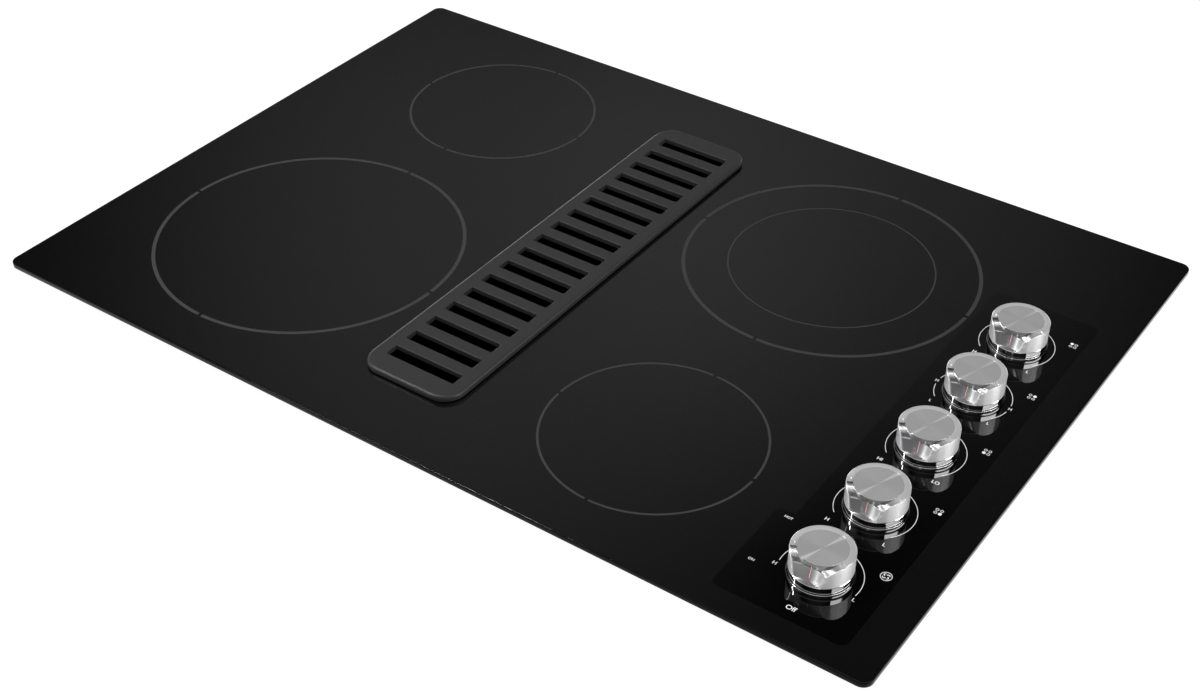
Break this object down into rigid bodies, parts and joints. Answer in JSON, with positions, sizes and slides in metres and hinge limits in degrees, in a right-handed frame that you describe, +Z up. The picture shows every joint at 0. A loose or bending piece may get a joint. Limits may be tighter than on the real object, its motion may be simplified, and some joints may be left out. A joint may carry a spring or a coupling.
{
  "type": "electric downdraft cooktop",
  "caption": "Drop-in electric downdraft cooktop: black glass with radiant zones, push-to-turn knobs and a centre vent grille over an air chamber, blower and round outlet with damper flaps.",
  "frame": {"origin": "middle of the worktop cut-out, on the worktop's upper surface, where the rim gasket rests", "axes": "+X to the right along the front edge, +Y to the back, +Z up out of the worktop"},
  "size_m": [0.7826, 0.5882, 0.5404],
  "materials": {
    "glass": "gloss",
    "gasket": "matte",
    "box_steel": "satin",
    "duct_steel": "satin",
    "insulation": "matte",
    "limiter": "matte",
    "spring_steel": "satin",
    "bracket_steel": "satin",
    "ring_chrome": "polished",
    "lamp": "gloss",
    "harness": "matte",
    "motor": "satin",
    "capacitor": "matte",
    "shaft_steel": "satin",
    "screw_steel": "satin",
    "grille": "matte",
    "pad": "matte",
    "filter_aluminium": "satin",
    "filter_mesh": "matte",
    "wheel_steel": "satin",
    "flap_aluminium": "satin",
    "pan_steel": "satin",
    "ribbon": "matte",
    "switch": "matte",
    "drum": "matte",
    "knob_chrome": "polished"
  },
  "bodies": {
    "cooktop": {"glass_top": "glass", "rim_gasket": "gasket", "burner_box": "box_steel", "vent_seal": "gasket", "air_chamber": "duct_steel", "filter_ledges": "duct_steel", "pan_left_rear": "pan_steel", "pan_left_front": "pan_steel", "pan_right_rear": "pan_steel", "pan_right_front": "pan_steel", "insulation": "insulation", "ribbon_left_rear": "ribbon", "ribbon_left_front": "ribbon", "ribbon_right_rear": "ribbon", "ribbon_right_front": "ribbon", "limiters": "limiter", "pan_springs": "spring_steel", "fan_switch": "switch", "right_front_switch": "switch", "left_front_switch": "switch", "right_rear_switch": "switch", "left_rear_switch": "switch", "switch_carrier": "bracket_steel", "knob_rings": "ring_chrome", "indicator_lamps": "lamp", "junction_box": "bracket_steel", "junction_cover": "bracket_steel", "wiring_harness": "harness", "hold_down_brackets": "bracket_steel", "blower_housing": "duct_steel", "inlet_ring": "duct_steel", "motor_shell": "motor", "motor_bracket": "bracket_steel", "outlet_collar": "duct_steel", "capacitor": "capacitor", "damper_pin": "shaft_steel", "screws": "screw_steel"},
    "grille": {"vent_grille": "grille", "grille_pads": "pad"},
    "filter": {"filter_frame": "filter_aluminium", "filter_mesh": "filter_mesh"},
    "wheel": {"blower_wheel": "wheel_steel", "motor_shaft": "shaft_steel"},
    "flap_left": {"damper_flap_left": "flap_aluminium"},
    "flap_right": {"damper_flap_right": "flap_aluminium"},
    "fan_turner": {"fan_drum": "drum"},
    "fan_control": {"fan_shaft": "shaft_steel", "fan_knob": "knob_chrome"},
    "right_front_turner": {"right_front_drum": "drum"},
    "right_front_control": {"right_front_shaft": "shaft_steel", "right_front_knob": "knob_chrome"},
    "left_front_turner": {"left_front_drum": "drum"},
    "left_front_control": {"left_front_shaft": "shaft_steel", "left_front_knob": "knob_chrome"},
    "right_rear_turner": {"right_rear_drum": "drum"},
    "right_rear_control": {"right_rear_shaft": "shaft_steel", "right_rear_knob": "knob_chrome"},
    "left_rear_turner": {"left_rear_drum": "drum"},
    "left_rear_control": {"left_rear_shaft": "shaft_steel", "left_rear_knob": "knob_chrome"}
  },
  "joints": [
    {"name": "grille_lift", "type": "slide", "parent": "cooktop", "child": "grille", "axis": [0, 0, 1], "range_m": [0, 0.16]},
    {"name": "filter_lift", "type": "slide", "parent": "cooktop", "child": "filter", "axis": [0, 0, 1], "range_m": [0, 0.128]},
    {"name": "wheel_spin", "type": "hinge", "parent": "cooktop", "child": "wheel", "pos_m": [0.106, -0.005, -0.29], "axis": [-1, 0, 0], "continuous": true},
    {"name": "flap_left_swing", "type": "hinge", "parent": "cooktop", "child": "flap_left", "pos_m": [0.073, 0.038, -0.436], "axis": [0, -1, 0], "range_deg": [0, 80], "stiffness_Nm_per_rad": 0.02, "springref_deg": -51.57},
    {"name": "flap_right_swing", "type": "hinge", "parent": "cooktop", "child": "flap_right", "pos_m": [0.073, 0.038, -0.436], "axis": [0, 1, 0], "range_deg": [0, 80], "stiffness_Nm_per_rad": 0.02, "springref_deg": -51.57},
    {"name": "fan_turn", "type": "hinge", "parent": "cooktop", "child": "fan_turner", "pos_m": [0.319, -0.206, -0.02], "axis": [0, 0, -1], "range_deg": [0, 286]},
    {"name": "fan_push", "type": "slide", "parent": "fan_turner", "child": "fan_control", "axis": [0, 0, -1], "range_m": [0, 0.0022], "stiffness_N_per_m": 2000, "springref_m": -0.0025},
    {"name": "right_front_turn", "type": "hinge", "parent": "cooktop", "child": "right_front_turner", "pos_m": [0.319, -0.13025, -0.02], "axis": [0, 0, -1], "continuous": true},
    {"name": "right_front_push", "type": "slide", "parent": "right_front_turner", "child": "right_front_control", "axis": [0, 0, -1], "range_m": [0, 0.0022], "stiffness_N_per_m": 2000, "springref_m": -0.0025},
    {"name": "left_front_turn", "type": "hinge", "parent": "cooktop", "child": "left_front_turner", "pos_m": [0.319, -0.0545, -0.02], "axis": [0, 0, -1], "continuous": true},
    {"name": "left_front_push", "type": "slide", "parent": "left_front_turner", "child": "left_front_control", "axis": [0, 0, -1], "range_m": [0, 0.0022], "stiffness_N_per_m": 2000, "springref_m": -0.0025},
    {"name": "right_rear_turn", "type": "hinge", "parent": "cooktop", "child": "right_rear_turner", "pos_m": [0.319, 0.02125, -0.02], "axis": [0, 0, -1], "continuous": true},
    {"name": "right_rear_push", "type": "slide", "parent": "right_rear_turner", "child": "right_rear_control", "axis": [0, 0, -1], "range_m": [0, 0.0022], "stiffness_N_per_m": 2000, "springref_m": -0.0025},
    {"name": "left_rear_turn", "type": "hinge", "parent": "cooktop", "child": "left_rear_turner", "pos_m": [0.319, 0.097, -0.02], "axis": [0, 0, -1], "continuous": true},
    {"name": "left_rear_push", "type": "slide", "parent": "left_rear_turner", "child": "left_rear_control", "axis": [0, 0, -1], "range_m": [0, 0.0022], "stiffness_N_per_m": 2000, "springref_m": -0.0025}
  ],
  "couplings": [
    {"joint": "filter_lift", "follows": "grille_lift", "ratio": 0.8}
  ]
}
